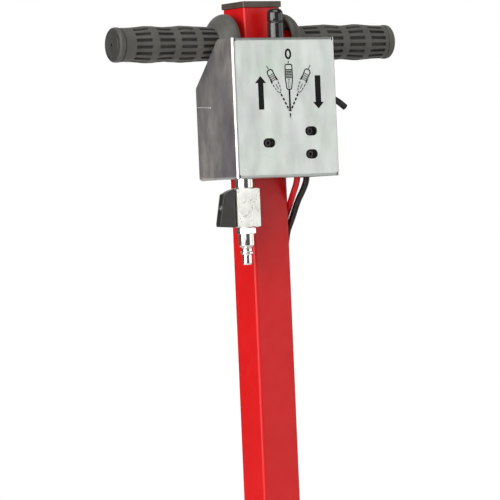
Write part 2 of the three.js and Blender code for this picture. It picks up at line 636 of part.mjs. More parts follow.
function handleScrew() {
  const at = [AIR_Y, BALL_Z];
  const end = AIR_X - STEM_END;
  const head = rod('x', 2.8, end - 3.6, end - 1.6 - GAP, at);
  const shank = rod('x', 1, end - 2, end + 4, at, 12);
  const drive = rod('x', 1.2, end - 4, end - 2.6, at, 6);
  return head.subtract(drive).add(shank);
}
place('handle_screw', handleScrew(), steel);

// The quick plug: thread, hexagon, barrel, neck, locking rib and tip, with an air bore through it.
function quickPlug() {
  const top = SHUTOFF.bottom - GAP;
  const body = turned([
    [2.5, PLUG_END], [3.9, PLUG_END], [4.5, PLUG_END + 1.2], [4.5, 482.4], [6.1, 482.8],
    [6.1, 484.5], [5.1, 485], [5.1, 488.2], [7.6, 490.4], [7.6, top - 3], [7.8, top - 2],
    [7.8, 517.4], [2.5, 517.4],
  ]);
  const collar = hexagon(16, 501.2, top, [0, 0]);
  return body.add(collar.subtract(rod('z', 5, 500, top + 1, [0, 0])));
}
place('plug_nipple', quickPlug(), nickel).position.set(AIR_X, AIR_Y, 0);

export default handle;
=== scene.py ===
# Looks of the control handle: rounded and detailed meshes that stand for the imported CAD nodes,
# node materials for every one of them, a pale floor, soft studio light and the camera.
#
# Shapes are written in millimetres in the CAD frame: +Z up the column, the T-bar along X and the
# control panel facing -Y. mesh_object() turns them into metres.

import math

import bmesh
import bpy
from mathutils import Matrix, Vector


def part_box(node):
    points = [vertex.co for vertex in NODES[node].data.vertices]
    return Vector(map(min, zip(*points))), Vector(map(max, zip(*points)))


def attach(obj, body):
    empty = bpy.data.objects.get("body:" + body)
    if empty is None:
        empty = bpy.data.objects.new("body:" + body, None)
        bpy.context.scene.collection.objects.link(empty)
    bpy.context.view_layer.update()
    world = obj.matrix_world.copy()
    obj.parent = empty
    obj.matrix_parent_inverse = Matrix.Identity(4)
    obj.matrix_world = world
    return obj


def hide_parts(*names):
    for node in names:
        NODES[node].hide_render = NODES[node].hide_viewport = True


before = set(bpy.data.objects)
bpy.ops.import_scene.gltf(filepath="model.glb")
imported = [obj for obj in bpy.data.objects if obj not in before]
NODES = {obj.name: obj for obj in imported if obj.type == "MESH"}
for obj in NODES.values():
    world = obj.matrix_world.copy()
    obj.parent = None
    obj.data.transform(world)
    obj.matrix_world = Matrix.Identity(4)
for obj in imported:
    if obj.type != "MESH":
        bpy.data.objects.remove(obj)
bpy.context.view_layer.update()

SCENE = bpy.context.scene
MM = 0.001
FLOOR_HALF, FLOOR_Z = 1500.0, -0.2

# ------------------------------------------------------------------ driving dimensions (mm)
GAP = 0.3  # air left between pieces that touch
SHARP = 32.0  # degrees: an edge that turns by more is kept as an edge

# column and foot
TOP = 720.0
COLUMN_HALF, COLUMN_WALL = 20.0, 2.5
CAP_THICK = 5.5
SKIRT = 12.0  # depth of the cap's skirt inside the column
FOOT = {"half": 45.0, "corner": 8.0, "thick": 8.0, "bolt_at": 32.0, "bolt_r": 4.5}
PORT_X, PORT_R = 9.0, 5.0  # hose ports in the foot plate, either side of the column's axis
HOSE_SLOT = {"z": 478.0, "half_width": 6.0, "half_length": 29.0}

# T-bar
BAR_Z = 681.4
BAR_R, BAR_WALL, BAR_HALF = 12.5, 2.0, 147.0

# control box
BOX = {"half": 56.0, "front": -56.7, "back": 14.5, "low": 552.7, "high": 683.5}
SHEET = 1.5
BEND_R = 3.0  # outside radius of the sheet's bends
LIP_HALF = 52.0  # half the length of the folded lips, which stop short of the corners
HEM = 52.5  # inner edge of the side plates' folded hems
NOTCH_X = 52.9  # relief notches in the front's corners
LIP_DEPTH, FLANGE_BACK = 7.5, -24.0
SIDE_TOP_BACK = -29.5  # where the side plates' slanted edge starts at the top
SIDE_KNEE_Z = 640.0  # where the slanted edge meets the rear edge
SLOT = {"length": 13.0, "height": 8.8}
SLOTS = ((-20.2, 585.1), (26.0, 595.3), (25.8, 573.7))  # (x, z), one before each valve screw
HOSE_HOLE = 9.0  # width of the hoses' hole in the box's floor
BRACKET_SCREWS = {"x": (-12.0, 12.0), "z": (572.0, 608.0), "hole_r": 2.8}
EXHAUST = {"y": -43.2, "z": 627.0, "hole_r": 5.6}

# hand-lever valve
VALVE_X, VALVE_Y, SPOOL_Z = 3.5, -37.0, 585.0
RED_PORT_X, BLACK_PORT_X = 20.8, 30.9
LEVER_TOP = 712.0
HOSE_R, EXHAUST_BORE = 3.0, 1.9

# shut-off valve and quick plug, on one vertical axis
AIR_X, AIR_Y, BALL_Z = -38.4, -38.0, 526.0
NIPPLE_R = 7.7
BALL_VALVE = {"flats": 24.6, "low": 507.4, "high": 543.9}
WING = {"from": 13.0, "to": 29.6, "taper": 5.0, "low": -18.2, "high": 17.6, "high_end": 12.8,
        "thick": 9.0}
STEM_END = 23.0  # outer end of the shut-off stem, from the valve's axis


# ------------------------------------------------------------------ camera, light and floor
def make_camera():
    """A long lens from the front left, level with the shut-off valve."""
    data = bpy.data.cameras.new("camera")
    data.lens = 252.0
    data.sensor_width = 36.0
    data.sensor_fit = "HORIZONTAL"
    data.clip_start, data.clip_end = 0.1, 60.0
    camera = bpy.data.objects.new("camera", data)
    SCENE.collection.objects.link(camera)
    right = Vector((0.860016, -0.508505, -0.042372))
    up = Vector((0.040147, -0.015350, 0.999076))
    away = Vector((-0.508686, -0.860922, 0.007214))
    turn = Matrix((right, up, away)).transposed().to_4x4()
    camera.matrix_world = Matrix.Translation((-1.69864, -2.85349, 0.50971)) @ turn
    SCENE.camera = camera


def area_light(name, at, aim, size, power):
    """A soft box at a place (m), turned to its aim, with a size in m and a power in W."""
    data = bpy.data.lights.new(name, "AREA")
    data.shape = "RECTANGLE"
    data.size, data.size_y = size
    data.energy = power
    light = bpy.data.objects.new(name, data)
    light.location = at
    light.rotation_mode = "QUATERNION"
    light.rotation_quaternion = (Vector(aim) - Vector(at)).to_track_quat("-Z", "Y")
    SCENE.collection.objects.link(light)


def make_studio():
    """Six soft boxes and a faint fill, before a background that the camera sees as white."""
    centre = (0.0, 0.0, 0.52)
    area_light("key", (-2.3, -0.45, 0.95), centre, (1.7, 1.9), 54)
    area_light("front_left", (-1.85, -1.75, 1.25), centre, (1.1, 1.6), 24)
    area_light("front_right", (1.75, -2.5, 0.75), centre, (2.0, 1.8), 15)
    area_light("right", (2.5, -0.6, 0.85), centre, (1.6, 1.7), 11)
    area_light("overhead", (-0.3, -0.9, 2.4), centre, (1.8, 1.6), 23)
    area_light("back", (1.2, 2.4, 1.3), centre, (1.6, 1.4), 8)

    world = bpy.data.worlds.new("studio")
    SCENE.world = world
    world.use_nodes = True
    tree = world.node_tree
    tree.nodes.clear()
    output = tree.nodes.new("ShaderNodeOutputWorld")
    mix = tree.nodes.new("ShaderNodeMixShader")
    path = tree.nodes.new("ShaderNodeLightPath")
    fill = tree.nodes.new("ShaderNodeBackground")
    fill.inputs["Color"].default_value = (0.94, 0.97, 1.0, 1)
    fill.inputs["Strength"].default_value = 0.11
    paper = tree.nodes.new("ShaderNodeBackground")
    paper.inputs["Color"].default_value = (1, 1, 1, 1)
    tree.links.new(path.outputs["Is Camera Ray"], mix.inputs["Fac"])
    tree.links.new(fill.outputs[0], mix.inputs[1])
    tree.links.new(paper.outputs[0], mix.inputs[2])
    tree.links.new(mix.outputs[0], output.inputs["Surface"])
    SCENE.view_settings.view_transform = "Standard"


# ------------------------------------------------------------------ node materials
class Shader:
    """A Principled material with short ways to add its texture nodes."""

    def __init__(self, name, roughness, metallic=0.0, **sockets):
        self.material = bpy.data.materials.new(name)
        self.material.use_nodes = True
        self.tree = self.material.node_tree
        self.bsdf = self.tree.nodes["Principled BSDF"]
        self.bsdf.inputs["Roughness"].default_value = roughness
        self.bsdf.inputs["Metallic"].default_value = metallic
        for socket, value in sockets.items():
            self.bsdf.inputs[socket.replace("_", " ")].default_value = value
        self.place = self.node("ShaderNodeTexCoord").outputs["Object"]

    def node(self, kind, **values):
        made = self.tree.nodes.new(kind)
        for key, value in values.items():
            setattr(made, key, value)
        return made

    def link(self, source, into):
        self.tree.links.new(source, into)

    def noise(self, scale, detail=3.0, stretch=(1, 1, 1), rough=0.5):
        mapping = self.node("ShaderNodeMapping")
        mapping.inputs["Scale"].default_value = stretch
        self.link(self.place, mapping.inputs["Vector"])
        made = self.node("ShaderNodeTexNoise")
        made.inputs["Scale"].default_value = scale
        made.inputs["Detail"].default_value = detail
        made.inputs["Roughness"].default_value = rough
        self.link(mapping.outputs[0], made.inputs["Vector"])
        return made.outputs["Fac"]

    def cells(self, scale):
        """Distance from the middle of the nearest of many scattered cells."""
        made = self.node("ShaderNodeTexVoronoi")
        made.inputs["Scale"].default_value = scale
        self.link(self.place, made.inputs["Vector"])
        return made.outputs["Distance"]

    def ramp(self, value, stops):
        """A colour ramp over a value; each stop is (position, colour)."""
        made = self.node("ShaderNodeValToRGB")
        elements = made.color_ramp.elements
        while len(elements) < len(stops):
            elements.new(0.5)
        for element, (at, colour) in zip(elements, stops):
            element.position = at
            element.color = (*colour, 1)
        self.link(value, made.inputs["Fac"])
        return made.outputs["Color"]

    def blend(self, first, second, amount):
        """Mixes two colours; each argument is a colour or number, or another node's output."""
        made = self.node("ShaderNodeMix", data_type="RGBA", blend_type="MIX")
        for socket, value in ((0, amount), (6, first), (7, second)):
            if isinstance(value, bpy.types.NodeSocket):
                self.link(value, made.inputs[socket])
            else:
                made.inputs[socket].default_value = value
        return made.outputs[2]

    def spread(self, value, low, high, start=0.3, end=0.7):
        """Maps start..end of a value onto low..high."""
        made = self.node("ShaderNodeMapRange")
        for socket, number in zip((1, 2, 3, 4), (start, end, low, high)):
            made.inputs[socket].default_value = number
        self.link(value, made.inputs[0])
        return made.outputs[0]

    def colour(self, source):
        self.link(source, self.bsdf.inputs["Base Color"])

    def rough(self, value, low, high):
        self.link(self.spread(value, low, high), self.bsdf.inputs["Roughness"])

    def bump(self, *layers):
        """Each layer is (value, depth in mm)."""
        normal = None
        for value, depth in layers:
            made = self.node("ShaderNodeBump")
            made.inputs["Strength"].default_value = 1.0
            made.inputs["Distance"].default_value = depth * MM
            self.link(value, made.inputs["Height"])
            if normal is not None:
                self.link(normal, made.inputs["Normal"])
            normal = made.outputs[0]
        self.link(normal, self.bsdf.inputs["Normal"])


def plain(name, dark, light, roughness, scale=60.0, peel=900.0, depth=0.012, metallic=0.0, **extra):
    """Two close tones in soft patches, uneven gloss and a fine surface texture."""
    s = Shader(name, roughness, metallic, **extra)
    s.colour(s.ramp(s.noise(scale, 4), [(0.3, dark), (0.7, light)]))
    s.rough(s.noise(scale * 2.3, 3), roughness * 0.82, roughness * 1.2)
    s.bump((s.noise(peel, 2), depth))
    return s.material


def red_paint():
    """Powder coat with a fine orange peel and a little pale dust."""
    s = Shader("red_powder_coat", 0.36, Specular_IOR_Level=0.35)
    body = s.ramp(s.noise(14, 3), [(0.3, (0.53, 0.003, 0.003)), (0.7, (0.59, 0.004, 0.005))])
    dust = s.spread(s.noise(150, 5, rough=0.7), 0.0, 0.05, 0.55, 0.8)
    s.colour(s.blend(body, (0.70, 0.06, 0.04, 1), dust))
    s.rough(s.noise(90, 3), 0.30, 0.44)
    s.bump((s.noise(520, 2), 0.035), (s.noise(1500, 1), 0.008))
    return s.material


def zinc_sheet():
    """Grey plating with green and violet clouds, and paler stains on the two side plates."""
    s = Shader("zinc_plated_sheet", 0.36, 0.92)
    cloud = s.noise(24, 5, stretch=(1.5, 1.5, 0.6))
    base = s.ramp(cloud, [(0.25, (0.55, 0.58, 0.55)), (0.75, (0.63, 0.66, 0.625))])
    violet = s.spread(s.noise(34, 4, rough=0.6), 0.0, 0.34, 0.46, 0.72)
    green = s.spread(s.noise(27, 5, rough=0.65), 0.0, 0.55, 0.44, 0.68)
    tinted = s.blend(base, (0.52, 0.46, 0.54, 1), violet)
    tinted = s.blend(tinted, (0.53, 0.64, 0.52, 1), green)
    split = s.node("ShaderNodeSeparateXYZ")
    s.link(s.place, split.inputs[0])
    outward = s.node("ShaderNodeMath", operation="ABSOLUTE")
    s.link(split.outputs["X"], outward.inputs[0])
    side = s.spread(outward.outputs[0], 0.0, 1.0, (BOX["half"] - SHEET) * MM, BOX["half"] * MM)
    stained = s.ramp(s.noise(42, 5, stretch=(1, 1, 0.45), rough=0.6),
                     [(0.36, (0.44, 0.39, 0.43)), (0.52, (0.62, 0.585, 0.56)),
                      (0.66, (0.84, 0.76, 0.70))])
    s.colour(s.blend(tinted, stained, side))
    s.rough(s.noise(60, 4, stretch=(1.6, 1.6, 0.6)), 0.30, 0.42)
    s.bump((s.noise(900, 2), 0.002), (s.noise(26, 2), 0.018))
    return s.material


def nickel(name, roughness):
    s = Shader(name, roughness, 1.0)
    s.colour(s.ramp(s.noise(70, 3), [(0.3, (0.76, 0.745, 0.69)), (0.7, (0.88, 0.87, 0.83))]))
    s.rough(s.noise(160, 4), roughness * 0.8, roughness * 1.3)
    s.bump((s.noise(500, 2), 0.001))
    return s.material


def cast_nickel():
    """Satin plating over a forged skin, with small dark pits in clusters."""
    s = Shader("cast_nickel", 0.34, 1.0)
    tone = s.ramp(s.noise(90, 3), [(0.3, (0.84, 0.835, 0.775)), (0.7, (0.95, 0.945, 0.895))])
    pit = s.spread(s.cells(520), 1.0, 0.0, 0.16, 0.44)
    cluster = s.spread(s.noise(150, 3), 0.0, 0.8, 0.50, 0.60)
    amount = s.node("ShaderNodeMath", operation="MULTIPLY")
    s.link(pit, amount.inputs[0])
    s.link(cluster, amount.inputs[1])
    s.colour(s.blend(tone, (0.30, 0.29, 0.22, 1), amount.outputs[0]))
    s.rough(s.noise(240, 4), 0.28, 0.42)
    s.bump((s.noise(620, 3, rough=0.6), 0.02))
    return s.material


def grip_rubber():
    """Dark rubber with chalky wear on its ribs; painted shade turns the pocket floors near black.
    """
    s = Shader("moulded_grip_rubber", 0.55, Sheen_Weight=0.15)
    tone = s.ramp(s.noise(34, 4), [(0.3, (0.052, 0.050, 0.042)), (0.7, (0.080, 0.077, 0.066))])
    chalk = s.spread(s.noise(260, 5, rough=0.7), 0.0, 0.16, 0.55, 0.85)
    worn = s.blend(tone, (0.14, 0.135, 0.12, 1), chalk)
    across = s.node("ShaderNodeVectorMath", operation="MULTIPLY_ADD")
    across.inputs[1].default_value = (0, 1, 1)
    across.inputs[2].default_value = (0, 0, -BAR_Z * MM)
    s.link(s.place, across.inputs[0])
    radius = s.node("ShaderNodeVectorMath", operation="LENGTH")
    s.link(across.outputs[0], radius.inputs[0])
    # painted shade: the pocket floors, below the ribs' radius, are painted near black where shade
    # falls in the recesses
    painted_pocket_shade = s.spread(radius.outputs["Value"], 0.85, 0.0, 15.1 * MM, 15.7 * MM)
    s.colour(s.blend(worn, (0.008, 0.0075, 0.006, 1), painted_pocket_shade))
    s.rough(s.noise(120, 3), 0.46, 0.64)
    s.bump((s.noise(1100, 3), 0.02))
    return s.material


def floor_material():
    s = Shader("studio_floor", 0.7)
    s.colour(s.ramp(s.noise(3, 3), [(0.3, (0.80, 0.80, 0.80)), (0.7, (0.84, 0.84, 0.83))]))
    s.bump((s.noise(60, 2), 0.05))
    return s.material


PAINT = red_paint()
ZINC = zinc_sheet()
RUBBER = grip_rubber()
NICKEL = nickel("bright_nickel", 0.13)
CAST = cast_nickel()
STEEL = plain("plated_steel", (0.42, 0.42, 0.41), (0.58, 0.58, 0.56), 0.3, metallic=1.0)
BLACK_STEEL = plain("black_oxide_steel", (0.040, 0.038, 0.036), (0.075, 0.072, 0.068), 0.34,
                    metallic=1.0)
ALUMINIUM = plain("cast_aluminium", (0.42, 0.43, 0.44), (0.56, 0.57, 0.57), 0.42,
                  peel=500, depth=0.03, metallic=1.0)
CAP_PLASTIC = plain("cap_plastic", (0.050, 0.036, 0.026), (0.085, 0.062, 0.046), 0.42, depth=0.02)
KNOB_PLASTIC = plain("knob_plastic", (0.010, 0.010, 0.010), (0.020, 0.019, 0.018), 0.14,
                     peel=300, depth=0.006, Coat_Weight=0.3, Coat_Roughness=0.05)
WING_PLASTIC = plain("wing_plastic", (0.014, 0.013, 0.011), (0.023, 0.021, 0.017), 0.36,
                     depth=0.02)
RED_HOSE = plain("red_hose_plastic", (0.52, 0.005, 0.010), (0.62, 0.008, 0.014), 0.2,
                 peel=200, depth=0.006, Specular_IOR_Level=0.35)
BLACK_HOSE = plain("black_hose_plastic", (0.008, 0.007, 0.006), (0.018, 0.015, 0.012), 0.2,
                   peel=200, depth=0.006, Specular_IOR_Level=0.35)
SEAT = plain("seat_plastic", (0.74, 0.72, 0.67), (0.82, 0.81, 0.77), 0.45)
SEAL = plain("seal_rubber", (0.010, 0.010, 0.010), (0.022, 0.021, 0.020), 0.6, depth=0.02)
INK = plain("black_ink", (0.006, 0.006, 0.006), (0.014, 0.014, 0.013), 0.6, depth=0.004,
            Specular_IOR_Level=0.1)
DARK_INK = plain("grey_ink", (0.07, 0.075, 0.07), (0.11, 0.115, 0.11), 0.6, depth=0.004)
BARE = plain("bare_zinc", (0.66, 0.66, 0.65), (0.80, 0.80, 0.78), 0.5, metallic=0.2)


# ------------------------------------------------------------------ mesh building
def smooth(obj, angle=SHARP):
    """Shades a mesh smoothly, except across edges that turn by more than the angle."""
    mesh = obj.data
    mesh.polygons.foreach_set("use_smooth", [True] * len(mesh.polygons))
    mesh.set_sharp_from_angle(angle=math.radians(angle))
    mesh.update()
    return obj


def mesh_object(name, points, faces, angle=SHARP):
    """An object from points in millimetres, with its faces turned outwards."""
    mesh = bpy.data.meshes.new(name)
    mesh.from_pydata([Vector(p) * MM for p in points], [], faces)
    made = bmesh.new()
    made.from_mesh(mesh)
    bmesh.ops.recalc_face_normals(made, faces=made.faces)
    made.to_mesh(mesh)
    made.free()
    obj = bpy.data.objects.new(name, mesh)
    SCENE.collection.objects.link(obj)
    return smooth(obj, angle)


def rounded(outline, steps=6):
    """Corner points (u, v) or (u, v, radius); a corner with a radius becomes an arc."""
    points = []
    count = len(outline)
    for i, corner in enumerate(outline):
        here = Vector(corner[:2])
        if len(corner) < 3 or corner[2] <= 0:
            points.append(tuple(here))
            continue
        back = (Vector(outline[i - 1][:2]) - here).normalized()
        on = (Vector(outline[(i + 1) % count][:2]) - here).normalized()
        half = back.angle(on) / 2
        reach = corner[2] / math.tan(half)
        centre = here + (back + on).normalized() * (corner[2] / math.sin(half))
        start = here + back * reach - centre
        turn = start.angle_signed(here + on * reach - centre)
        for k in range(steps + 1):
            a = -turn * k / steps
            spoke = Vector((start.x * math.cos(a) - start.y * math.sin(a),
                            start.x * math.sin(a) + start.y * math.cos(a)))
            points.append(tuple(centre + spoke))
    return points


def spin_point(axis, r, h, a):
    """The point at a radius, a height along the axis and an angle about it."""
    c, s = r * math.cos(a), r * math.sin(a)
    return {"x": (h, c, s), "y": (s, h, c), "z": (c, s, h)}[axis]


def lathe(name, outline, axis="z", at=(0, 0, 0), segments=64, angle=SHARP):
    """Turns [(radius, height)] about an axis. Open ends have to lie on the axis."""
    points, faces, rings = [], [], []
    for r, h in outline:
        count = 1 if r < 1e-6 else segments
        ring = []
        for k in range(count):
            p = spin_point(axis, r, h, math.tau * k / segments)
            ring.append(len(points))
            points.append(tuple(a + b for a, b in zip(p, at)))
        rings.append(ring)
    pairs = list(zip(rings, rings[1:]))
    if len(rings[0]) > 1:
        pairs.append((rings[-1], rings[0]))
    for lower, upper in pairs:
        for k in range(segments):
            n = (k + 1) % segments
            face = [lower[k % len(lower)], lower[n % len(lower)],
                    upper[n % len(upper)], upper[k % len(upper)]]
            face = list(dict.fromkeys(face))
            if len(face) > 2:
                faces.append(face)
    return mesh_object(name, points, faces, angle)


def set_out(axis, u, v, w):
    """Plane coordinates u, v in X, Y, Z order, and w along the axis."""
    return {"x": (w, u, v), "y": (u, w, v), "z": (u, v, w)}[axis]


def prism(name, outline, axis, a, b):
    """An outline extruded along an axis, from a to b."""
    count = len(outline)
    points = [set_out(axis, u, v, w) for w in (a, b) for u, v in outline]
    faces = [list(range(count)), list(range(2 * count - 1, count - 1, -1))]
    for k in range(count):
        n = (k + 1) % count
        faces.append([k, n, n + count, k + count])
    return mesh_object(name, points, faces)


def block(x0, x1, y0, y1, z0, z1):
    return prism("tool", [(x0, y0), (x1, y0), (x1, y1), (x0, y1)], "z", z0, z1)


def polygon(sides, r, at=(0, 0), phase=0.0):
    return [(at[0] + r * math.cos(phase + math.tau * k / sides),
             at[1] + r * math.sin(phase + math.tau * k / sides)) for k in range(sides)]


def round_tool(axis, r, a, b, at, sides=48):
    return prism("tool", polygon(sides, r, at), axis, a, b)


def obround(width, length, at, along=0, steps=20):
    """An obround outline, long in the plane's first (0) or second (1) coordinate."""
    r, reach = width / 2, (length - width) / 2
    points = []
    for k in range(2 * (steps + 1)):
        side = 1 if k <= steps else -1
        a = math.pi * (k - (k > steps)) / steps - math.pi / 2
        u, v = side * reach + r * math.cos(a), r * math.sin(a)
        points.append((at[0] + u, at[1] + v) if along == 0 else (at[0] - v, at[1] + u))
    return points


def evaluated(obj):
    """Applies the modifiers to the mesh."""
    graph = bpy.context.evaluated_depsgraph_get()
    mesh = bpy.data.meshes.new_from_object(obj.evaluated_get(graph))
    obj.modifiers.clear()
    obj.data = mesh
    return obj


def combined(obj, tools, operation):
    for tool in tools:
        made = obj.modifiers.new("combine", "BOOLEAN")
        made.operation = operation
        made.solver = "EXACT"
        made.object = tool
        evaluated(obj)
        bpy.data.objects.remove(tool)
    return obj


def cut(obj, *tools):
    return combined(obj, tools, "DIFFERENCE")


def join(obj, *tools):
    return combined(obj, tools, "UNION")


def edged(obj, width, segments=2, angle=SHARP):
    """Rounds the sharp edges, and keeps the flats flat to the light."""
    made = bmesh.new()
    made.from_mesh(obj.data)
    bmesh.ops.remove_doubles(made, verts=made.verts, dist=1e-6)
    bmesh.ops.dissolve_limit(made, angle_limit=math.radians(0.5), verts=made.verts,
                             edges=made.edges)
    made.to_mesh(obj.data)
    made.free()
    smooth(obj, angle)
    bevel = obj.modifiers.new("edges", "BEVEL")
    bevel.width = width * MM
    bevel.segments = segments
    bevel.limit_method = "ANGLE"
    bevel.angle_limit = math.radians(angle)
    bevel.harden_normals = True
    bevel.use_clamp_overlap = True
    weigh = obj.modifiers.new("weigh", "WEIGHTED_NORMAL")
    weigh.weight = 90
    weigh.keep_sharp = True
    return evaluated(obj)


def refined(node, name, width, segments=2, angle=SHARP):
    """A CAD node's own shape with its edges rounded."""
    obj = bpy.data.objects.new(name, NODES[node].data.copy())
    SCENE.collection.objects.link(obj)
    return edged(obj, width, segments, angle)


def piece(obj, finish, body="root", nodes=()):
    """Gives a finished mesh its material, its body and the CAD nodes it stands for."""
    obj.data.materials.clear()
    obj.data.materials.append(finish)
    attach(obj, body)
    if nodes:
        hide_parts(*nodes)
    return obj


# ------------------------------------------------------------------ column, cap and foot
def rounded_square(half, radius, steps=10):
    return rounded([(-half, -half, radius), (half, -half, radius), (half, half, radius),
                    (-half, half, radius)], steps)


def column():
    bore = COLUMN_HALF - COLUMN_WALL
    under_cap = TOP - CAP_THICK
    tube = prism("column_tube_painted", rounded_square(COLUMN_HALF, 3), "z", FOOT["thick"] + GAP,
                 under_cap - GAP)
    slot = obround(2 * HOSE_SLOT["half_width"], 2 * HOSE_SLOT["half_length"],
                   (0, HOSE_SLOT["z"]), 1)
    tools = [prism("tool", rounded_square(bore, 1.2), "z", 0, TOP + 5),
             round_tool("x", BAR_R + GAP, -COLUMN_HALF - 5, COLUMN_HALF + 5, (0, BAR_Z), 64),
             prism("tool", slot, "x", COLUMN_HALF - 5, COLUMN_HALF + 5)]
    for x in BRACKET_SCREWS["x"]:
        for z in BRACKET_SCREWS["z"]:
            tools.append(round_tool("y", BRACKET_SCREWS["hole_r"], -COLUMN_HALF - 5,
                                    -COLUMN_HALF + 5, (x, z), 24))
    piece(edged(cut(tube, *tools), 0.35), PAINT, nodes=["column_tube"])

    cap = prism("column_cap_moulded", rounded_square(COLUMN_HALF + 1, 1.6), "z", under_cap, TOP)
    skirt = prism("tool", rounded_square(bore - GAP, 1), "z", under_cap - SKIRT, under_cap + 0.5)
    hollow = prism("tool", rounded_square(bore - GAP - 2, 1), "z", under_cap - SKIRT - 2.5,
                   under_cap)
    piece(edged(cut(join(cap, skirt), hollow), 0.9, 3), CAP_PLASTIC,
          nodes=["column_cap"])


def foot():
    thick, bolt_at = FOOT["thick"], FOOT["bolt_at"]
    plate = prism("foot_plate_painted", rounded_square(FOOT["half"], FOOT["corner"], 14), "z", 0,
                  thick)
    tools = [round_tool("z", PORT_R + GAP, -1, thick + 1, (x, 0)) for x in (-PORT_X, PORT_X)]
    tools += [round_tool("z", FOOT["bolt_r"], -1, thick + 1, (x, y))
              for x in (-bolt_at, bolt_at) for y in (-bolt_at, bolt_at)]
    piece(edged(cut(plate, *tools), 0.7, 3), PAINT, nodes=["foot_plate"])

    seat = thick + GAP
    fitting = [(2, 0.5), (PORT_R - 0.3, 0.5), (PORT_R, 0.8), (PORT_R, seat), (7, seat), (7, 16.6),
               (6, 17.6), (6, 23.2), (5.2, 24), (3.5, 24), (HOSE_R + GAP, 23.6),
               (HOSE_R + GAP, 14), (2, 14)]
    for side, node in ((-1, "lift_port_fitting"), (1, "lower_port_fitting")):
        made = lathe(f"{node}_turned", fitting, "z", (side * PORT_X, 0, 0), 48)
        piece(made, NICKEL, nodes=[node])


# ------------------------------------------------------------------ T-bar and grips
# the barrel's radius along the bar, as (x, radius)
GRIP_PROFILE = [(44.5, 15.5), (52, 16.1), (62, 16.5), (72, 17.0), (79, 17.4), (88, 16.8),
                (97, 16.2), (104, 16.6), (112, 17.4), (119, 17.3), (126, 16.6), (132, 16.1),
                (140, 15.9), (152, 15.9)]
# the rolled guard at the inner end and the button at the outer end, as (radius, x)
GUARD = [(15.4, 39.2), (18.6, 36.2), (21.4, 33.0), (23.4, 30.2), (24.3, 28.9), (24.9, 28.5),
         (26.0, 28.4), (26.8, 28.7), (27.4, 29.6), (27.8, 31.2), (27.8, 32.8), (27.4, 34.6),
         (26.5, 36.6), (25.0, 38.8), (22.8, 40.9), (20.2, 42.6), (17.8, 43.6), (16.4, 44.2),
         (15.7, 45.0)]
BUTTON = [(15.3, 144.5), (15.2, 144.9), (15.4, 145.2), (16.2, 145.6), (16.4, 146.2), (16.4, 149.0),
          (16.1, 150.2), (15.3, 151.0), (14.6, 151.15), (14.1, 150.9), (13.6, 150.7),
          (11.2, 150.9), (10.7, 151.1), (10.4, 151.5), (9.8, 151.65), (6.0, 152.1), (2.6, 152.25),
          (2.4, 152.6), (1.8, 152.6), (1.5, 152.3)]
GRIP_ROWS = {-1: (54.0, 77.5, 101.0, 125.0), 1: (59.0, 83.5, 108.0, 132.0)}
POCKETS = 16  # in each row, around the grip
POCKET_DEPTH = 2.2
POCKET_HALF = 8.6
POCKET_RIM, POCKET_SLOPE = 0.5, 0.55


def between(table, x):
    """Eased interpolation in a table of (x, value)."""
    for (x0, y0), (x1, y1) in zip(table, table[1:]):
        if x <= x1:
            t = (x - x0) / (x1 - x0)
            t = t * t * (3 - 2 * t)
            return y0 + (y1 - y0) * t
    return table[-1][1]


def grip(side):
    """Stations along the bar, each a closed ring; the pocket floors are pushed in."""
    bore, inner_end = BAR_R + GAP, BAR_HALF + GAP
    stations = [(bore, inner_end, 0), (bore, 41.2, 0), (bore + 0.4, 40.7, 0)]
    stations += [(r, x, 0) for r, x in GUARD]
    slope_foot = POCKET_HALF - POCKET_SLOPE
    row = ((-POCKET_HALF - POCKET_RIM, 0), (-POCKET_HALF, 0), (-slope_foot, 1), (-4, 1), (0, 1),
           (4, 1), (slope_foot, 1), (POCKET_HALF, 0), (POCKET_HALF + POCKET_RIM, 0))
    for middle in GRIP_ROWS[side]:
        stations += [(between(GRIP_PROFILE, middle + x), middle + x, pushed) for x, pushed in row]
    last = stations[-1][1]
    for x in (last + 1.5, (last + 144) / 2, 144.2):
        stations.append((between(GRIP_PROFILE, x), x, 0))
    stations += [(r, x, 0) for r, x in BUTTON]
    stations.append((1.5, inner_end, 0))

    pitch = math.tau / POCKETS
    shares = ((0.0, 0), (0.13, 0), (0.22, 0), (0.30, 1), (0.5, 1), (0.70, 1), (0.78, 0), (0.87, 0))
    turns = [(pitch * (k + share), pushed) for k in range(POCKETS) for share, pushed in shares]
    points, faces = [], []
    for r, x, in_row in stations:
        for a, in_pocket in turns:
            deep = r - (POCKET_DEPTH if in_row and in_pocket else 0.0)
            points.append((side * x, deep * math.cos(a), BAR_Z + deep * math.sin(a)))
    wide = len(turns)
    for i in range(len(stations)):
        j = (i + 1) % len(stations)
        for k in range(wide):
            n = (k + 1) % wide
            faces.append([i * wide + k, i * wide + n, j * wide + n, j * wide + k])
    name = "left" if side < 0 else "right"
    made = mesh_object(f"{name}_grip_moulded", points, faces, angle=38)
    piece(made, RUBBER, nodes=[f"{name}_grip"])


def t_bar():
    bore, chamfer = BAR_R - BAR_WALL, 0.3
    half = [(bore, BAR_HALF), (BAR_R - chamfer, BAR_HALF), (BAR_R, BAR_HALF - chamfer)]
    tube = [(r, -x) for r, x in half] + half[::-1]
    made = lathe("handle_bar_painted", tube, "x", (0, 0, BAR_Z))
    piece(made, PAINT, nodes=["handle_bar"])
    grip(-1)
    grip(1)


# ------------------------------------------------------------------ control box
def fold(name, points, axis, a, b):
    """Bent sheet: its outline lies in the plane across the axis."""
    return prism(name, rounded(points, 8), axis, a, b)


def folded_edge(wall, inner, edge, up, tip, axis, a, b):
    """A strip bent from a wall's edge in to a tip. The wall goes up (1) or down (-1) from it."""
    root, inside = edge + up * 3.4, edge + up * SHEET
    return fold("tool", [(wall, root), (wall, edge, BEND_R), (tip, edge), (tip, inside),
                         (inner, inside, BEND_R - SHEET), (inner, root)], axis, a, b)


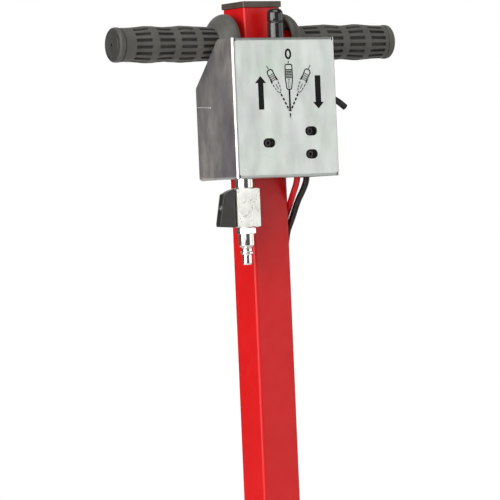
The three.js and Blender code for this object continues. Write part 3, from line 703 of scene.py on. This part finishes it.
def control_box():
    half, front, back, low, high = (BOX[k] for k in ("half", "front", "back", "low", "high"))
    inner, inside = half - SHEET, front + SHEET
    bend_in = BEND_R - SHEET
    sheet = fold("box_cover_folded", [
        (-half, back), (-half, front, BEND_R), (half, front, BEND_R), (half, back), (inner, back),
        (inner, inside, bend_in), (-inner, inside, bend_in), (-inner, back)], "z", low, high)
    wedge = [(SIDE_TOP_BACK, high + 1), (SIDE_TOP_BACK, high), (-10.8, 665, 6),
             (back, SIDE_KNEE_Z, 5), (back + 1, SIDE_KNEE_Z - 10), (back + 1, high + 1)]
    cut(sheet, prism("tool", rounded(wedge), "x", -half - 1, half + 1),
        block(-LIP_HALF, LIP_HALF, front - 1, inside + 1, high - BEND_R, high + 1),
        block(-LIP_HALF, LIP_HALF, front - 1, inside + 1, low - 1, low + BEND_R))
    for side in (-1, 1):
        edge = sorted((side * (half + 1), side * (inner - 1)))
        cut(sheet, block(*edge, -LIP_HALF, back + 1, low - 1, low + BEND_R))

    join(sheet,
         folded_edge(front, inside, high, -1, front + LIP_DEPTH, "x", -LIP_HALF, LIP_HALF),
         folded_edge(front, inside, low, 1, FLANGE_BACK, "x", -LIP_HALF, LIP_HALF),
         folded_edge(-half, -inner, low, 1, -HEM, "y", -LIP_HALF, back),
         folded_edge(half, inner, low, 1, HEM, "y", -LIP_HALF, back))
    tools = [prism("tool", obround(SLOT["height"], SLOT["length"], at), "y", front - 1, inside + 1)
             for at in SLOTS]
    hose_hole = obround(HOSE_HOLE, HOSE_HOLE + BLACK_PORT_X - RED_PORT_X,
                        ((RED_PORT_X + BLACK_PORT_X) / 2, VALVE_Y))
    tools += [round_tool("z", NIPPLE_R + GAP, low - 1, low + 3, (AIR_X, AIR_Y)),
              prism("tool", hose_hole, "z", low - 1, low + 3),
              round_tool("x", EXHAUST["hole_r"], inner - 1, half + 1,
                         (EXHAUST["y"], EXHAUST["z"]))]
    for x in (-NOTCH_X, NOTCH_X):
        for z in (high + 0.5, low - 0.5):
            tools.append(prism("tool", obround(1.5, 8, (x, z), 1), "y", front - 1, inside + 1.5))
    cut(sheet, *tools)
    piece(edged(sheet, 0.22), ZINC, nodes=["box_cover"])
    scratch = [(14.2, 622.4), (-10.9, 620.9), (-11.9, 621.5), (-12.7, 620.9), (-11.9, 620.2),
               (-10.9, 620.6), (14.2, 622.1)]
    piece(prism("side_scratch", scratch, "x", -half - 0.04, -half + 0.05), BARE)
    piece(refined("mounting_bracket", "mounting_bracket_folded", 0.3), ZINC,
          nodes=["mounting_bracket"])
    for i in range(1, 5):
        made = refined(f"bracket_screw_{i}", f"bracket_screw_{i}_turned", 0.25)
        piece(made, STEEL, nodes=[f"bracket_screw_{i}"])


# ------------------------------------------------------------------ printed pictogram
PRINT_FRONT = BOX["front"] - 0.06
PRINT_BACK = BOX["front"] + 0.04
PIVOT = (4.0, 613.4)  # where the drawn lever turns
SWING = 28.6  # degrees to the drawn lever's end positions


def stroke(points, width, closed=False):
    """The two mitred sides of a band along a line."""
    count = len(points)
    left, right = [], []
    for i, p in enumerate(points):
        here = Vector(p)
        before = Vector(points[i - 1]) if closed or i > 0 else None
        after = Vector(points[(i + 1) % count]) if closed or i < count - 1 else None
        ways = []
        if before is not None:
            ways.append((here - before).normalized())
        if after is not None:
            ways.append((after - here).normalized())
        way = sum(ways, Vector((0, 0))).normalized()
        side = Vector((-way.y, way.x)) * (width / 2 / max(0.5, way.dot(ways[0])))
        left.append(here + side)
        right.append(here - side)
    return left, right


def printed(name, bands, shapes, finish):
    """Thin raised ink: bands are (line, width, closed) and shapes are filled outlines."""
    points, faces = [], []

    def put(u, v, depth):
        points.append((u, depth, v))
        return len(points) - 1

    for outline in shapes:
        near = [put(u, v, PRINT_FRONT) for u, v in outline]
        far = [put(u, v, PRINT_BACK) for u, v in outline]
        faces.append(near)
        faces.append(far[::-1])
        for k in range(len(outline)):
            n = (k + 1) % len(outline)
            faces.append([near[k], near[n], far[n], far[k]])
    for line, width, closed in bands:
        left, right = stroke(line, width, closed)
        rows = [[put(p.x, p.y, d) for d in (PRINT_FRONT, PRINT_BACK) for p in pair]
                for pair in zip(left, right)]
        pairs = list(zip(rows, rows[1:])) + ([(rows[-1], rows[0])] if closed else [])
        for (a, b, c, d), (e, f, g, h) in pairs:
            faces += [[a, b, f, e], [c, g, h, d], [a, e, g, c], [b, d, h, f]]
        if not closed:
            for a, b, c, d in (rows[0], rows[-1]):
                faces.append([a, c, d, b])
    piece(mesh_object(name, points, faces, angle=60), finish)


def tilted(points, degrees):
    """Points (across, along) of the drawn lever, turned about its pivot."""
    a = math.radians(degrees)
    return [(PIVOT[0] + u * math.cos(a) + v * math.sin(a),
             PIVOT[1] - u * math.sin(a) + v * math.cos(a)) for u, v in points]


def mark(points, width, degrees=0.0, closed=False):
    return tilted(points, degrees), width, closed


def arrow(x, half):
    """An arrow's whole outline, from its right half."""
    return [(x + u, z) for u, z in half] + [(x - u, z) for u, z in reversed(half) if u]


def end_position(way):
    """The lever drawn with broken lines, at one end of its swing."""
    head = [(-2.9, 35.0), (-3.1, 43.0), (-1.8, 44.9), (1.8, 44.9), (3.1, 43.0), (2.9, 35.0)]
    bands = [mark(head, 1.1, way), mark([(0, 49.8), (0, 45.7)], 0.8, way)]
    for s in (-1, 1):
        bands.append(mark([(s * 2.9, 36.6), (s * 3.3, 32.4)], 1.6, way))
        for v0, v1, u0, u1 in ((31.0, 28.4, 3.1, 2.9), (27.2, 25.0, 2.8, 2.5),
                               (23.9, 22.1, 2.3, 1.4)):
            bands.append(mark([(s * u0, v0), (s * u1, v1)], 0.9, way))
    bands.append(mark([(0, 30.2), (0, 24.6)], 0.65, way))
    bands.append(mark([(-1.1, 21.2), (1.1, 21.2)], 0.9, way))
    for v in (19.6, 15.2, 10.8, 6.6):
        bands.append(mark([(0, v), (0, v - 2.8)], 1.7, way))
    bands.append(mark([(-0.9, 2.6), (0.9, 1.4)], 0.9, way))
    return bands


def pictogram():
    zero = [(4.1 + 2.55 * u, 667.8 + 4.1 * v) for u, v in polygon(40, 1)]
    up = arrow(-27, [(0.0, 647.6), (6.0, 641.0), (2.9, 641.0), (2.9, 616.3)])
    down = arrow(35.4, [(0.0, 616.1), (6.0, 622.4), (3.1, 622.4), (3.1, 647.4)])
    tip = tilted([(-1.0, -1.2), (1.0, -1.2), (0.55, -3.6), (0.0, -6.0), (-0.55, -3.6)], 0)
    knob = rounded([(-3.7, 44.6, 1.8), (3.7, 44.6, 1.8), (3.9, 31.5), (2.5, 21.3, 1.6),
                    (-2.5, 21.3, 1.6), (-3.9, 31.5)], 5)
    ferrule = [(-0.9, 30.6), (0.9, 30.6), (0.9, 23.2), (-0.9, 23.2)]

    bands = [(zero, 1.95, True), mark([(0, 47.9), (0, 45.6)], 0.9), mark(knob, 1.15, closed=True),
             mark(ferrule, 0.55, closed=True), mark([(0, 20.8), (0, 0.8)], 1.9)]
    for k in range(6):
        v = 39.6 - 1.5 * k
        bands.append(mark([(-3.1, v), (3.1, v)], 1.05))
    bands += end_position(-SWING) + end_position(SWING)
    printed("panel_pictogram", bands, [up, down, tip], INK)

    grey = []
    for way in (-SWING, SWING):
        for k in range(4):
            v = 40.0 - 1.9 * k
            grey.append(mark([(-2.3, v), (2.3, v)], 1.0, way))
    printed("panel_pictogram_shading", grey, [], DARK_INK)


# ------------------------------------------------------------------ lever valve in the box
def lever_valve():
    piece(refined("valve_body", "valve_body_cast", 0.6, 3), ALUMINIUM,
          nodes=["valve_body"])
    tip, seat, face = -33, -49.7, -53.7
    screw = [(0, tip), (2, tip), (2, seat), (3.3, seat), (3.5, seat - 0.2), (3.5, face + 0.5),
             (3.1, face), (0, face)]
    for i, (x, z) in enumerate(SLOTS, 1):
        head = lathe(f"valve_screw_{i}_turned", screw, "y", (x, 0, z), 40)
        socket = prism("tool", polygon(6, 1.75, (x, z)), "y", face - 1.3, face + 2)
        made = edged(cut(head, socket), 0.12)
        piece(made, BLACK_STEEL, nodes=[f"valve_screw_{i}"])
    piece(refined("valve_spool", "valve_spool_turned", 0.2), STEEL, "spool",
          ["valve_spool"])
    for i in (1, 2):
        low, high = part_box(f"spool_seal_{i}")
        x = (low.x + high.x) / 2 / MM
        ring = [(5.35 + 0.75 * u, 0.8 * v) for u, v in polygon(12, 1)]
        made = lathe(f"spool_seal_{i}_moulded", ring, "x", (x, VALVE_Y, SPOOL_Z), 40)
        piece(made, SEAL, "spool", [f"spool_seal_{i}"])
    piece(refined("spool_end_plug", "spool_end_plug_turned", 0.4), NICKEL,
          nodes=["spool_end_plug"])
    piece(refined("lever_pivot_pin", "lever_pivot_pin_turned", 0.3), STEEL,
          nodes=["lever_pivot_pin"])
    start, length, radius = 24.4, 8.4, 4.6
    per_turn = 24
    steps = 4 * per_turn
    coil = [(start + length * k / steps, VALVE_Y + radius * math.cos(math.tau * k / per_turn),
             SPOOL_Z + radius * math.sin(math.tau * k / per_turn)) for k in range(steps + 1)]
    piece(sweep("centring_spring_wound", coil, 0.6, 10), STEEL,
          nodes=["centring_spring"])

    made = refined("control_lever", "control_lever_turned", 0.25)
    piece(made, STEEL, "lever", ["control_lever"])
    top = LEVER_TOP
    knob = [(0, top - 11), (3.1, top - 11), (3.3, top - 11.4), (3.3, top - 54.6), (3.6, top - 55),
            (4.4, top - 55), (5.0, top - 54.2), (5.7, top - 48), (6.4, top - 42.6),
            (7.2, top - 40.0), (7.6, top - 38.0), (7.65, top - 36), (7.65, top - 14.4),
            (7.45, top - 13.6), (6.95, top - 13.2), (6.95, top - 12.8), (7.45, top - 12.4),
            (7.65, top - 11.6), (7.65, top - 6.0), (7.45, top - 4.2), (6.8, top - 2.6),
            (5.7, top - 1.3), (4.2, top - 0.5), (2.2, top - 0.1), (0, top)]
    made = lathe("lever_knob_moulded", knob, "z", (VALVE_X, VALVE_Y, 0), 72, angle=40)
    piece(made, KNOB_PLASTIC, "lever", ["lever_knob"])


# ------------------------------------------------------------------ hoses
def route(points, per_span=8):
    """A centripetal Catmull-Rom curve through the points."""
    p = [Vector(q) for q in points]
    p = [2 * p[0] - p[1], *p, 2 * p[-1] - p[-2]]
    made = [p[1]]
    for a, b, c, d in zip(p, p[1:], p[2:], p[3:]):
        t0, t1, t2 = (math.sqrt((v - u).length) for u, v in ((a, b), (b, c), (c, d)))
        m1 = ((b - a) / t0 - (c - a) / (t0 + t1) + (c - b) / t1) * t1
        m2 = ((c - b) / t1 - (d - b) / (t1 + t2) + (d - c) / t2) * t1
        for k in range(1, per_span + 1):
            t = k / per_span
            made.append(b + m1 * t + (3 * (c - b) - 2 * m1 - m2) * t * t
                        + (2 * (b - c) + m1 + m2) * t ** 3)
    return made


def sweep(name, line, radius, sides=24, bore=0.0):
    """A round tube along a line; with a bore it is open at both ends."""
    line = [Vector(p) for p in line]
    points, faces, rings = [], [], []
    side = None
    for i, here in enumerate(line):
        way = (line[min(i + 1, len(line) - 1)] - line[max(i - 1, 0)]).normalized()
        if side is None:
            side = way.orthogonal().normalized()
        side = (side - way * side.dot(way)).normalized()
        up = way.cross(side)
        for r in ((radius, bore) if bore else (radius,)):
            rings.append([])
            for k in range(sides):
                a = math.tau * k / sides
                rings[-1].append(len(points))
                points.append(here + (side * math.cos(a) + up * math.sin(a)) * r)
    layers = [rings[0::2], rings[1::2]] if bore else [rings]
    joins = [pair for layer in layers for pair in zip(layer, layer[1:])]
    if bore:
        joins += [(layers[0][0], layers[1][0]), (layers[0][-1], layers[1][-1])]
    else:
        faces += [rings[0], rings[-1]]
    for first, second in joins:
        for k in range(sides):
            n = (k + 1) % sides
            faces.append([first[k], first[n], second[n], second[k]])
    return mesh_object(name, points, faces, angle=40)


RED_ROUTE = [
    (20.8, -37, 558.8), (20.8, -36.9, 556), (20.8, -35.6, 549.5), (20.8, -32.6, 544),
    (21.2, -27.6, 538), (22.8, -20.4, 531.5), (24.2, -12.8, 524), (24.8, -5.8, 515.5),
    (24.8, -0.6, 506), (22.4, 1.0, 496), (17.8, 1.2, 485.5), (11.5, 1.3, 473.5), (4.5, 1.6, 459),
    (-2, 1.6, 441), (-7.4, 0.8, 414), (-9, 0, 384), (-9, 0, 300), (-9, 0, 200), (-9, 0, 100),
    (-9, 0, 14.5)]
BLACK_ROUTE = [
    (30.9, -37, 558.8), (30.9, -36.9, 556), (30.9, -35.9, 549.5), (30.5, -33.2, 544),
    (29.8, -28.8, 538), (28.8, -23.5, 531), (28.1, -19.2, 524), (27.2, -15, 516),
    (26.2, -10.4, 508), (25.4, -7, 501.5), (25.2, -4.9, 494.5), (24.6, -3.3, 487.5),
    (22.6, -1.8, 480), (19.4, -0.8, 472.5), (15.5, 0, 464), (12, 0.3, 454), (9.8, 0.3, 440),
    (9, 0, 420), (9, 0, 384), (9, 0, 300), (9, 0, 200), (9, 0, 100), (9, 0, 14.5)]
EXHAUST_ROUTE = [
    (31, -37, 605.2), (31, -37, 609), (33.8, -38, 617.5), (40, -39.6, 624.3),
    (48.5, -41.6, 627.8), (57, -43.3, 626.6), (65, -44, 622.8), (72.6, -44.2, 617.2)]


def collar(name, sections, z_middle, half_width, half_length):
    """A moulded edging round a tall obround hole in a wall across X; sections are (outward, x)."""
    outline = obround(2 * half_width, 2 * half_length, (0, z_middle), 1, 16)
    reach = half_length - half_width
    points, faces = [], []
    for y, z in outline:
        middle = Vector((0, min(max(z, z_middle - reach), z_middle + reach)))
        outward = (Vector((y, z)) - middle).normalized()
        points += [(x, y + outward.x * d, z + outward.y * d) for d, x in sections]
    wide = len(sections)
    for i in range(len(outline)):
        j = (i + 1) % len(outline)
        for k in range(wide):
            n = (k + 1) % wide
            faces.append([i * wide + k, i * wide + n, j * wide + n, j * wide + k])
    return mesh_object(name, points, faces, angle=40)


def hoses():
    made = sweep("red_hose_tube", route(RED_ROUTE), HOSE_R)
    piece(made, RED_HOSE, nodes=["red_hose"])
    made = sweep("black_hose_tube", route(BLACK_ROUTE), HOSE_R)
    piece(made, BLACK_HOSE, nodes=["black_hose"])
    made = sweep("exhaust_tube_hollow", route(EXHAUST_ROUTE), HOSE_R, bore=EXHAUST_BORE)
    piece(made, BLACK_HOSE, nodes=["exhaust_tube"])
    for node in ("red_hose_fitting", "black_hose_fitting", "exhaust_fitting"):
        piece(refined(node, f"{node}_turned", 0.3), NICKEL, nodes=[node])

    outer, inner = COLUMN_HALF, COLUMN_HALF - COLUMN_WALL
    sections = rounded([
        (-1.0, inner - 2, 0.3), (-1.0, outer + 1.6, 0.4), (3.0, outer + 1.6, 0.6),
        (3.0, outer + GAP, 0.2), (-GAP, outer + GAP), (-GAP, inner - GAP),
        (1.5, inner - GAP, 0.2), (1.5, inner - 2, 0.5)], 4)
    made = collar("hose_grommet_moulded", sections, HOSE_SLOT["z"], HOSE_SLOT["half_width"],
                  HOSE_SLOT["half_length"])
    piece(made, SEAL, nodes=["hose_grommet"])

    outer, inner = BOX["half"], BOX["half"] - SHEET
    bore, neck, rim = 4.1, EXHAUST["hole_r"] - GAP, 7.4
    ring = rounded([
        (bore, inner - 1.8, 0.4), (rim, inner - 1.8, 0.6), (rim, inner - GAP, 0.2),
        (neck, inner - GAP), (neck, outer + GAP), (rim, outer + GAP, 0.2),
        (rim, outer + 1.8, 0.7), (bore, outer + 1.8, 0.5)], 4)
    made = lathe("exhaust_grommet_moulded", ring, "x", (0, EXHAUST["y"], EXHAUST["z"]), 48,
                 angle=40)
    piece(made, SEAL, nodes=["exhaust_grommet"])


# ------------------------------------------------------------------ air inlet
def hex_stock(name, flats, z0, z1, chamfer, phase=math.pi / 2):
    """Hexagonal bar with both ends turned to a chamfer."""
    r = flats / 2 / math.cos(math.pi / 6)
    bar = prism(name, polygon(6, r, (AIR_X, AIR_Y), phase), "z", z0, z1)
    tool = lathe("tool", [(0, z0), (flats / 2 - 0.3, z0), (r + 0.5, z0 + chamfer),
                          (r + 0.5, z1 - chamfer), (flats / 2 - 0.3, z1), (0, z1)],
                 "z", (AIR_X, AIR_Y, 0), 96)
    return combined(bar, [tool], "INTERSECT")


def air_inlet():
    at = (AIR_X, AIR_Y, 0)
    body_low, body_high = BALL_VALVE["low"], BALL_VALVE["high"]
    shoulder, sheet_low = body_high + GAP, BOX["low"] - GAP
    nipple = [(3, 534.5), (7.5, 534.5), (NIPPLE_R, 534.8), (NIPPLE_R, shoulder), (8.4, shoulder),
              (8.8, shoulder + 0.4), (8.8, sheet_low - 0.4), (8.4, sheet_low),
              (NIPPLE_R, sheet_low), (NIPPLE_R, 561.6), (7.3, 562), (5, 562), (5, 568.6),
              (4.6, 569), (3, 569)]
    piece(lathe("bulkhead_nipple_turned", nipple, "z", at), NICKEL,
          nodes=["bulkhead_nipple"])
    nut_low = BOX["low"] + SHEET + GAP
    nut = cut(hex_stock("bulkhead_nut_turned", 22, nut_low, nut_low + 6, 1.6),
              round_tool("z", NIPPLE_R + GAP, nut_low - 5, nut_low + 11, (AIR_X, AIR_Y)))
    piece(edged(nut, 0.25), NICKEL, nodes=["bulkhead_nut"])
    piece(refined("supply_elbow", "supply_elbow_cast", 0.8, 3), CAST,
          nodes=["supply_elbow"])

    body = hex_stock("ball_valve_body_forged", BALL_VALVE["flats"], body_low, body_high, 1.2)
    cut(body, round_tool("z", 8.1, body_low - 5, body_high + 5, (AIR_X, AIR_Y)),
        round_tool("x", 3.3, AIR_X - 20, AIR_X, (AIR_Y, BALL_Z)))
    piece(edged(body, 0.45, 3), CAST, nodes=["ball_valve_body"])
    piece(refined("valve_ball", "valve_ball_polished", 0.25, angle=40), NICKEL, "shutoff",
          ["valve_ball"])
    for node in ("upper_ball_seat", "lower_ball_seat"):
        low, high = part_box(node)
        z0, z1 = low.z / MM, high.z / MM
        ring = rounded([(5.5, z0, 0.3), (7.8, z0, 0.3), (7.8, z1, 0.3), (5.5, z1, 0.3)], 3)
        piece(lathe(f"{node}_moulded", ring, "z", at, 48), SEAT, nodes=[node])
    piece(refined("valve_stem", "valve_stem_turned", 0.2), NICKEL, "shutoff",
          ["valve_stem"])
    piece(wing(), WING_PLASTIC, "shutoff", ["ball_valve_handle"])
    piece(refined("handle_screw", "handle_screw_turned", 0.15), STEEL, "shutoff",
          ["handle_screw"])

    plug = [(2.5, 472.4), (3.6, 472.4), (4.2, 473.0), (4.5, 474.0), (4.5, 481.8), (4.9, 482.4),
            (5.9, 482.6), (6.1, 482.9), (6.1, 484.2), (5.8, 484.6), (5.1, 485.0), (5.0, 487.4),
            (5.3, 488.4), (7.2, 489.9), (7.6, 490.8), (7.6, 503.6), (7.8, 504.4), (7.8, 517.0),
            (7.5, 517.4), (2.5, 517.4)]
    turned = lathe("plug_nipple_turned", plug, "z", at)
    nut_low, nut_high = body_low - 6.2, body_low - GAP
    nut = cut(hex_stock("tool", 16, nut_low, nut_high, 0.9, math.pi / 2 - 0.12),
              round_tool("z", 5, nut_low - 1, nut_high + 3, (AIR_X, AIR_Y)))
    piece(edged(join(turned, nut), 0.12), NICKEL, nodes=["plug_nipple"])


def wing():
    """The shut-off handle: a thick wing that is hollow around the stem."""
    near, far, half = -WING["from"], -WING["to"], WING["thick"] / 2
    low, high, high_end = WING["low"], WING["high"], WING["high_end"]
    outline = [(near, low, 0.8), (far, low + 1, 1.4), (far, low + 4, 1.0),
               (far + WING["taper"], high_end, 1.4), (-17.5, 16.2, 3.0), (near, high, 0.8)]
    lifted = [(AIR_X + x, BALL_Z + z, r) for x, z, r in outline]
    plate = prism("ball_valve_handle_moulded", rounded(lifted, 5), "y", AIR_Y - half, AIR_Y + half)
    end = AIR_X - STEM_END
    axis = (AIR_Y, BALL_Z)
    cut(plate, round_tool("x", 3.3, end - GAP, AIR_X, axis),
        round_tool("x", 3.2, end - 7, end - 1.6, axis),
        round_tool("x", 1.8, end - 5, end + 1, axis, 24))
    return edged(plate, 0.7, 3)


# ------------------------------------------------------------------ build
make_camera()
make_studio()
column()
foot()
t_bar()
control_box()
pictogram()
lever_valve()
hoses()
air_inlet()

corners = ((-1, -1), (1, -1), (1, 1), (-1, 1))
floor = mesh_object("studio_floor", [(u * FLOOR_HALF, v * FLOOR_HALF, FLOOR_Z) for u, v in corners],
                    [[0, 1, 2, 3]])
floor.data.materials.append(floor_material())
